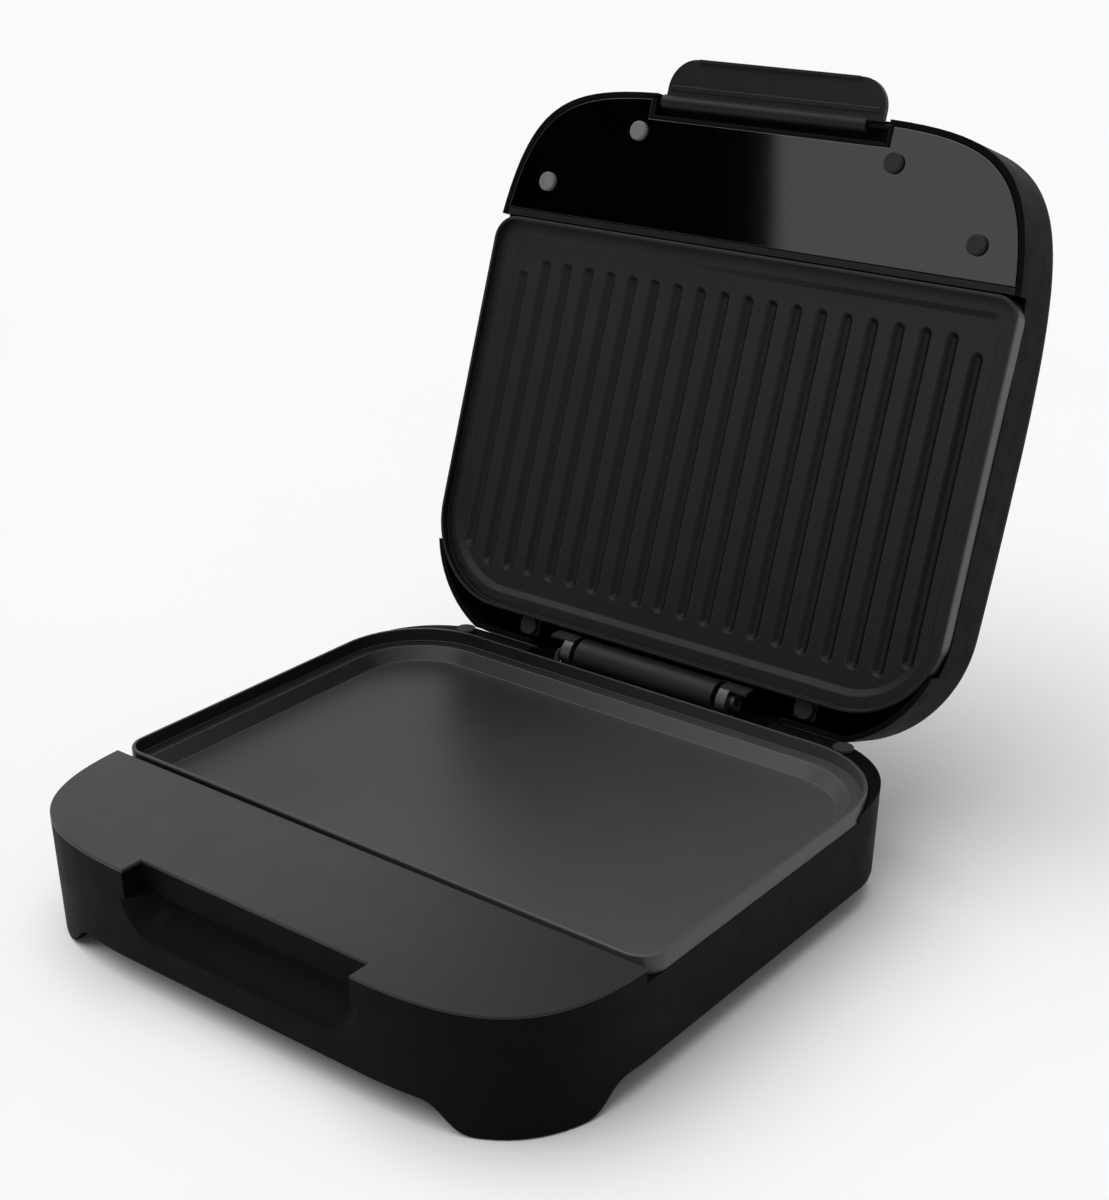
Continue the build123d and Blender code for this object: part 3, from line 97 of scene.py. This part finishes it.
# Parts of materials
def new_material(name):
    """An empty node material and its shader, with object coordinates to feed patterns."""
    material = bpy.data.materials.new(name)
    material.use_nodes = True
    tree = material.node_tree
    tree.nodes.clear()
    output = tree.nodes.new("ShaderNodeOutputMaterial")
    shader = tree.nodes.new("ShaderNodeBsdfPrincipled")
    tree.links.new(shader.outputs["BSDF"], output.inputs["Surface"])
    place = tree.nodes.new("ShaderNodeTexCoord")
    return material, tree, shader, place.outputs["Object"]


def noise(tree, vector, scale, detail=2.0, roughness=0.5, stretch=None):
    """A noise pattern; stretch scales the axes first, for brushed or drawn metal."""
    if stretch:
        mapping = tree.nodes.new("ShaderNodeMapping")
        mapping.inputs["Scale"].default_value = stretch
        tree.links.new(vector, mapping.inputs["Vector"])
        vector = mapping.outputs["Vector"]
    pattern = tree.nodes.new("ShaderNodeTexNoise")
    pattern.inputs["Scale"].default_value = scale
    pattern.inputs["Detail"].default_value = detail
    pattern.inputs["Roughness"].default_value = roughness
    tree.links.new(vector, pattern.inputs["Vector"])
    return pattern.outputs["Fac"]


def ramp(tree, factor, low, high, start=0.3, end=0.7):
    """A colour between low and high as the factor goes from start to end."""
    node = tree.nodes.new("ShaderNodeValToRGB")
    node.color_ramp.elements[0].position = start
    node.color_ramp.elements[0].color = low
    node.color_ramp.elements[1].position = end
    node.color_ramp.elements[1].color = high
    tree.links.new(factor, node.inputs["Fac"])
    return node.outputs["Color"]


def spread(tree, factor, low, high, start=0.3, end=0.7):
    """A number between low and high as the factor goes from start to end."""
    node = tree.nodes.new("ShaderNodeMapRange")
    node.inputs["From Min"].default_value = start
    node.inputs["From Max"].default_value = end
    node.inputs["To Min"].default_value = low
    node.inputs["To Max"].default_value = high
    tree.links.new(factor, node.inputs["Value"])
    return node.outputs["Result"]


def combine(tree, operation, first, second):
    """Two numbers taken together by a math operation."""
    node = tree.nodes.new("ShaderNodeMath")
    node.operation = operation
    tree.links.new(first, node.inputs[0])
    tree.links.new(second, node.inputs[1])
    return node.outputs["Value"]


def dot_product(tree, vector):
    """A node for the dot product of a vector with a second one, which the caller gives it."""
    node = tree.nodes.new("ShaderNodeVectorMath")
    node.operation = "DOT_PRODUCT"
    tree.links.new(vector, node.inputs[0])
    return node


def soft_edges(tree, radius):
    """A normal that rounds the edges by a small radius."""
    node = tree.nodes.new("ShaderNodeBevel")
    node.samples = 4
    node.inputs["Radius"].default_value = radius
    return node.outputs["Normal"]


def bump(tree, height, distance, normal, strength=1.0):
    """A bumped normal of a height pattern, on top of another normal."""
    node = tree.nodes.new("ShaderNodeBump")
    node.inputs["Strength"].default_value = strength
    node.inputs["Distance"].default_value = distance
    tree.links.new(height, node.inputs["Height"])
    tree.links.new(normal, node.inputs["Normal"])
    return node.outputs["Normal"]


def edge_mask(tree, rounded, sharpness=0.12):
    """Where the rounded normal leaves the flat one: 0 on faces, 1 at edges."""
    geometry = tree.nodes.new("ShaderNodeNewGeometry")
    node = dot_product(tree, rounded)
    tree.links.new(geometry.outputs["Normal"], node.inputs[1])
    return spread(tree, node.outputs["Value"], low=1.0, high=0.0, start=1.0 - sharpness, end=1.0)


def blend_colors(tree, factor, first, second):
    """A colour that goes over from the first to the second by a factor."""
    node = tree.nodes.new("ShaderNodeMix")
    node.data_type = "RGBA"
    tree.links.new(factor, node.inputs["Factor"])
    tree.links.new(first, node.inputs["A"])
    node.inputs["B"].default_value = second
    return node.outputs["Result"]


def along(tree, vector, axis, start, end):
    """A factor that grows from 0 to 1 along an axis of the part, between two places."""
    split = tree.nodes.new("ShaderNodeSeparateXYZ")
    tree.links.new(vector, split.inputs["Vector"])
    return spread(tree, split.outputs[axis], low=0.0, high=1.0, start=start, end=end)


def groove_shade_mask(tree, vector):
    """A mask of painted shade in the upper plate's grooves: 0 on the ribs, 1 deep in the grooves
    on the right side.
    """
    depth = dot_product(tree, vector)
    depth.inputs[1].default_value = LID_INWARD
    hinge_depth = Vector(LID_INWARD).dot(Vector(HINGE_PLACE))
    top, bottom = hinge_depth + GROOVE_TOP, hinge_depth + GROOVE_BOTTOM
    deep = spread(tree, depth.outputs["Value"], low=0.0, high=1.0, start=top, end=bottom)
    across = along(tree, vector, "X", *GROOVE_SHADE_FADE)
    strength = spread(tree, across, low=GROOVE_SHADE_LEFT, high=1.0, start=0.0, end=1.0)
    return combine(tree, "MULTIPLY", deep, strength)


# Kinds of material
def moulded_plastic(name, tones, rough, grain, relief, edge, edge_highlight=None, gloss=0.4, right=None):
    """Moulded plastic: faint mottling, a fine moulded grain and a painted highlight along the
    edges.

    Towards the right side of the part it may go over to another tone, which is painted shade.
    """
    material, tree, shader, place = new_material(name)
    color = ramp(tree, noise(tree, place, scale=38, detail=4, roughness=0.6), *tones)
    # Painted shade: towards the right side the colour goes over to the darker right tone.
    if right:
        color = blend_colors(tree, along(tree, place, "X", *PLASTIC_SHADE_FADE), color, right)
    rounded = soft_edges(tree, edge)
    # Painted highlight: where the bevel rounds an edge, the colour goes over to a paler tone.
    if edge_highlight:
        color = blend_colors(tree, edge_mask(tree, rounded), color, edge_highlight)
    tree.links.new(color, shader.inputs["Base Color"])
    sheen = noise(tree, place, scale=120, detail=3)
    tree.links.new(spread(tree, sheen, *rough), shader.inputs["Roughness"])
    texture = noise(tree, place, scale=grain, detail=2, roughness=0.6)
    tree.links.new(bump(tree, texture, relief, rounded), shader.inputs["Normal"])
    shader.inputs["Specular IOR Level"].default_value = gloss
    return material


def coated_metal(name, tones, rough, edge_highlight, gloss, right=None, ribbed=None):
    """Non-stick coating on cast metal: fine flecks over a softly uneven satin face.

    The coating may go over to another tone towards the right side of the part, which is painted
    light. On a ribbed plate it has painted shade at the lid's foot and in the grooves, and a
    painted highlight on the right rim.
    """
    material, tree, shader, place = new_material(name)
    cloud = noise(tree, place, scale=22, detail=5, roughness=0.65)
    dust = noise(tree, place, scale=2600, detail=1)
    fleck = spread(tree, dust, low=0.0, high=0.35, start=0.60, end=0.78)
    color = ramp(tree, cloud, *tones)
    # Painted light: towards the right side the coating goes over to the lighter right tone.
    if right:
        color = blend_colors(tree, along(tree, place, "X", *COATING_LIGHT_FADE), color, right)
    # Painted shade: the ribbed plate darkens towards the lid's foot.
    if ribbed:
        color = blend_colors(tree, along(tree, place, "Z", *FOOT_SHADE_FADE), color, ribbed["foot"])
    rounded = soft_edges(tree, WIDE_EDGE)
    edges = spread(tree, edge_mask(tree, rounded), low=0.0, high=0.75, start=0.0, end=1.0)
    # The real flecks take the same pale tone, and on the edges that tone is a painted highlight.
    color = blend_colors(tree, fleck, color, edge_highlight)
    color = blend_colors(tree, edges, color, edge_highlight)
    # Painted shade deep in the grooves, weaker towards the left.
    if ribbed:
        color = blend_colors(tree, groove_shade_mask(tree, place), color, ribbed["groove"])
        # Painted highlight on the ribbed plate's right rim.
        color = blend_colors(tree, along(tree, place, "X", *RIGHT_RIM_HIGHLIGHT), color, ribbed["rim"])
    tree.links.new(color, shader.inputs["Base Color"])
    tree.links.new(spread(tree, cloud, *rough), shader.inputs["Roughness"])
    texture = noise(tree, place, scale=900, detail=3, roughness=0.6)
    tree.links.new(bump(tree, texture, FINE_BUMP, rounded), shader.inputs["Normal"])
    shader.inputs["Specular IOR Level"].default_value = gloss
    return material


def polished_plastic(name, tones, rough):
    """Polished moulding: very slight waviness and faint haze in its gloss."""
    material, tree, shader, place = new_material(name)
    mottle = noise(tree, place, scale=30, detail=3)
    tree.links.new(ramp(tree, mottle, *tones), shader.inputs["Base Color"])
    haze = noise(tree, place, scale=70, detail=5, roughness=0.7)
    tree.links.new(spread(tree, haze, *rough), shader.inputs["Roughness"])
    wave = noise(tree, place, scale=14, detail=1)
    waved = bump(tree, wave, GRAIN_BUMP, soft_edges(tree, SMALL_EDGE))
    tree.links.new(waved, shader.inputs["Normal"])
    shader.inputs["IOR"].default_value = 1.66
    return material


def bare_metal(name, tones, rough, stretch):
    """Drawn or pressed metal with fine lines along one axis."""
    material, tree, shader, place = new_material(name)
    lines = noise(tree, place, scale=60, detail=4, roughness=0.7, stretch=stretch)
    tree.links.new(ramp(tree, lines, *tones, start=0.25, end=0.75), shader.inputs["Base Color"])
    tree.links.new(spread(tree, lines, *rough), shader.inputs["Roughness"])
    lined = bump(tree, lines, FINE_BUMP, soft_edges(tree, TINY_EDGE), strength=0.8)
    tree.links.new(lined, shader.inputs["Normal"])
    shader.inputs["Metallic"].default_value = 1.0
    return material


def rubber(name, tones, right=None):
    """Matte rubber with a fine powdery bloom; towards the right side its tone may go over to
    another, with a painted highlight on the paler side.
    """
    material, tree, shader, place = new_material(name)
    bloom = noise(tree, place, scale=420, detail=4, roughness=0.7)
    color = ramp(tree, bloom, *tones, start=0.35)
    # Painted highlight: the pale tone goes over to the right tone towards the right side.
    if right:
        color = blend_colors(tree, along(tree, place, "X", *RUBBER_HIGHLIGHT_FADE), color, right)
    tree.links.new(color, shader.inputs["Base Color"])
    tree.links.new(spread(tree, bloom, low=0.62, high=0.82), shader.inputs["Roughness"])
    texture = noise(tree, place, scale=1500)
    powdery = bump(tree, texture, SOFT_BUMP, soft_edges(tree, RUBBER_EDGE))
    tree.links.new(powdery, shader.inputs["Normal"])
    shader.inputs["Specular IOR Level"].default_value = 0.2
    return material


def tinted_lens(name, tones):
    """Clear tinted plastic with a frosted inside."""
    material, tree, shader, place = new_material(name)
    mottle = noise(tree, place, scale=300)
    tree.links.new(ramp(tree, mottle, *tones), shader.inputs["Base Color"])
    frost = noise(tree, place, scale=1100)
    frosted = bump(tree, frost, SOFT_BUMP, soft_edges(tree, SMALL_EDGE), strength=0.6)
    tree.links.new(frosted, shader.inputs["Normal"])
    shader.inputs["Roughness"].default_value = 0.12
    shader.inputs["Transmission Weight"].default_value = 0.55
    shader.inputs["IOR"].default_value = 1.49
    return material


# Finishes, by the record's material slots
FINISHES = {
    "matte_black": moulded_plastic(
        "matte_black_plastic",
        tones=(tone(7), tone(10)),
        rough=(0.50, 0.60),
        grain=1400,
        relief=GRAIN_BUMP,
        edge=WIDE_EDGE,
        edge_highlight=tone(16),
        gloss=0.04,
    ),
    "satin_deck": moulded_plastic(
        "satin_deck_plastic",
        tones=(tone(50), tone(55)),
        rough=(0.36, 0.44),
        grain=1900,
        relief=FINE_BUMP,
        edge=SMALL_EDGE,
        edge_highlight=tone(68),
        gloss=0.14,
        # Painted shade: the deck darkens towards its right side.
        right=tone(34),
    ),
    "gloss_black": polished_plastic("gloss_black_plastic", (tone(1), tone(2)), (0.055, 0.07)),
    "latch_black": moulded_plastic(
        "latch_plastic",
        tones=(tone(16), tone(21)),
        rough=(0.34, 0.44),
        grain=1700,
        relief=FINE_BUMP,
        edge=WIDE_EDGE,
        edge_highlight=tone(40),
        gloss=0.15,
    ),
    "plate_coating": coated_metal(
        "dark_nonstick_coating",
        tones=(tone(19), tone(23)),
        rough=(0.34, 0.42),
        edge_highlight=tone(84),
        gloss=0.28,
        # Painted light: the lower plate's coating lightens towards the right side.
        right=tone(64),
    ),
    "sheet_metal": bare_metal(
        "reflector_sheet", (tone(190), tone(214)), (0.30, 0.45), CROSSWISE_LINES
    ),
    "element_steel": bare_metal(
        "element_tube", (tone(112, 108, 104), tone(142, 136, 130)), (0.42, 0.58), EVEN_LINES
    ),
    "bright_steel": bare_metal(
        "plated_steel", (tone(176), tone(206)), (0.26, 0.40), UPRIGHT_LINES
    ),
    "dark_steel": bare_metal(
        "blackened_steel", (tone(60), tone(78)), (0.38, 0.50), UPRIGHT_LINES
    ),
    # Painted highlight: the bumpers are pale on the left, where they catch light, and dark rubber
    # on the right.
    "bumper_rubber": rubber("bumper_rubber", (tone(104), tone(118)), right=tone(34)),
    "foot_rubber": rubber("foot_rubber", (tone(38), tone(48))),
    "heat_plastic": moulded_plastic(
        "heat_resistant_plastic",
        tones=(tone(206, 202, 190), tone(222, 218, 206)),
        rough=(0.45, 0.6),
        grain=900,
        relief=SOFT_BUMP,
        edge=SMALL_EDGE,
    ),
    "wire_jacket": moulded_plastic(
        "silicone_jacket",
        tones=(tone(196, 192, 184), tone(210, 207, 198)),
        rough=(0.40, 0.5),
        grain=1200,
        relief=FINE_BUMP,
        edge=TINY_EDGE,
    ),
    "lamp_glass": tinted_lens("neon_glass", (tone(226, 178, 150), tone(236, 196, 170))),
    "red_lens": tinted_lens("red_lens", (tone(150, 22, 16), tone(176, 34, 24))),
}

# Finishes of single pieces, which differ a little from their slot's
lid_black = moulded_plastic(
    "lid_plastic",
    tones=(tone(6), tone(9)),
    rough=(0.46, 0.56),
    grain=1400,
    relief=GRAIN_BUMP,
    edge=WIDE_EDGE,
    edge_highlight=tone(14),
    gloss=0.028,
)
upper_coating = coated_metal(
    "ribbed_plate_coating",
    tones=(tone(30), tone(34)),
    rough=(0.40, 0.50),
    edge_highlight=tone(52),
    gloss=0.16,
    # Painted shade at the lid's foot and in the grooves, and a painted highlight on the right rim.
    ribbed={"foot": tone(8), "groove": tone(5), "rim": tone(86)},
)
# Painted shade: the latch pin and trough screws are toned near black, as the shade in the latch
# slot where they sit.
slot_shade_steel = bare_metal("slot_shade_black_steel", (tone(14), tone(22)), (0.52, 0.64), UPRIGHT_LINES)
OWN_FINISHES = {
    "upper_plate": upper_coating,
    "lid_shell": lid_black,
    "latch_pin": slot_shade_steel,
    "trough_screws": slot_shade_steel,
    "rear_caps": FINISHES["foot_rubber"],
    "lid_wires": FINISHES["foot_rubber"],
}

for part in frame["record"]["subparts"]:
    node = part["node"]
    for slot in nodes[node].material_slots:
        slot.material = OWN_FINISHES.get(node) or FINISHES[part["material_slot"]]


# Studio: floor, card, world and lamp
def add_object(name, data):
    """A new object in the scene, from its mesh, lamp or camera data."""
    thing = bpy.data.objects.new(name, data)
    bpy.context.scene.collection.objects.link(thing)
    return thing


def add_sheet(name, width, height):
    """A flat rectangle about the origin."""
    mesh = bpy.data.meshes.new(name)
    x, y = width / 2, height / 2
    mesh.from_pydata([(-x, -y, 0), (x, -y, 0), (x, y, 0), (-x, y, 0)], [], [(0, 1, 2, 3)])
    return add_object(name, mesh)


def aim(thing, place, target):
    """Puts a thing somewhere and turns its face to a target."""
    thing.location = place
    thing.rotation_euler = (Vector(target) - Vector(place)).to_track_quat("-Z", "Y").to_euler()


def add_floor():
    """A wide pale floor under the part."""
    floor = add_sheet("floor", 2 * FLOOR_REACH, 2 * FLOOR_REACH)
    material, tree, shader, place = new_material("pale_floor")
    color = ramp(tree, noise(tree, place, scale=3), FLOOR_LOW, FLOOR_HIGH)
    tree.links.new(color, shader.inputs["Base Color"])
    shader.inputs["Roughness"].default_value = 0.9
    shader.inputs["Specular IOR Level"].default_value = 0.1
    floor.data.materials.append(material)


def add_dark_flag():
    """A black card that only glossy surfaces mirror, turned about its own axis."""
    flag = add_sheet("left_flag", *FLAG_SIZE)
    aim(flag, FLAG_PLACE, FLAG_TARGET)
    flag.rotation_euler.rotate_axis("Z", FLAG_ROLL)
    flag.visible_camera = False
    flag.visible_diffuse = False
    flag.visible_shadow = False
    material, tree, shader, place = new_material("black_card")
    color = ramp(tree, noise(tree, place, scale=20), tone(4), tone(8))
    tree.links.new(color, shader.inputs["Base Color"])
    shader.inputs["Roughness"].default_value = 1.0
    shader.inputs["Specular IOR Level"].default_value = 0.0
    flag.data.materials.append(material)


def background(tree, strength):
    """A plain white light from all around."""
    node = tree.nodes.new("ShaderNodeBackground")
    node.inputs["Color"].default_value = WHITE
    node.inputs["Strength"].default_value = strength
    return node.outputs["Background"]


def set_world():
    """An even soft fill, white to the camera, in reflections and through clear plastic."""
    world = bpy.data.worlds.new("studio")
    world.use_nodes = True
    tree = world.node_tree
    tree.nodes.clear()
    output = tree.nodes.new("ShaderNodeOutputWorld")
    rays = tree.nodes.new("ShaderNodeLightPath")
    seen = rays.outputs["Is Camera Ray"]
    for kind in ("Is Glossy Ray", "Is Transmission Ray"):
        seen = combine(tree, "MAXIMUM", seen, rays.outputs[kind])
    mix = tree.nodes.new("ShaderNodeMixShader")
    tree.links.new(seen, mix.inputs["Fac"])
    tree.links.new(background(tree, WORLD_FILL), mix.inputs[1])
    tree.links.new(background(tree, 1.0), mix.inputs[2])
    tree.links.new(mix.outputs["Shader"], output.inputs["Surface"])
    bpy.context.scene.world = world


def add_sky_lamp():
    """An even soft light from above, spread over a wide angle."""
    data = bpy.data.lights.new("sky_lamp", "SUN")
    data.angle = SKY_ANGLE
    data.energy = SKY_POWER
    aim(add_object("sky_lamp", data), SKY_PLACE, (0, 0, 0))


def add_camera():
    """The camera at the photograph's place, angle and lens."""
    data = bpy.data.cameras.new("camera")
    data.sensor_width = SENSOR_WIDTH
    data.lens = CAMERA_LENS
    camera = add_object("camera", data)
    back = Vector((
        sin(CAMERA_AZIMUTH) * cos(CAMERA_ELEVATION),
        -cos(CAMERA_AZIMUTH) * cos(CAMERA_ELEVATION),
        sin(CAMERA_ELEVATION),
    ))
    turn = back.to_track_quat("Z", "Y").to_matrix() @ Matrix.Rotation(CAMERA_ROLL, 3, "Z")
    camera.matrix_world = Matrix.Translation(CAMERA_PLACE) @ turn.to_4x4()
    bpy.context.scene.camera = camera


add_floor()
set_world()
add_sky_lamp()
add_dark_flag()
add_camera()

bpy.context.scene.view_settings.view_transform = "Standard"
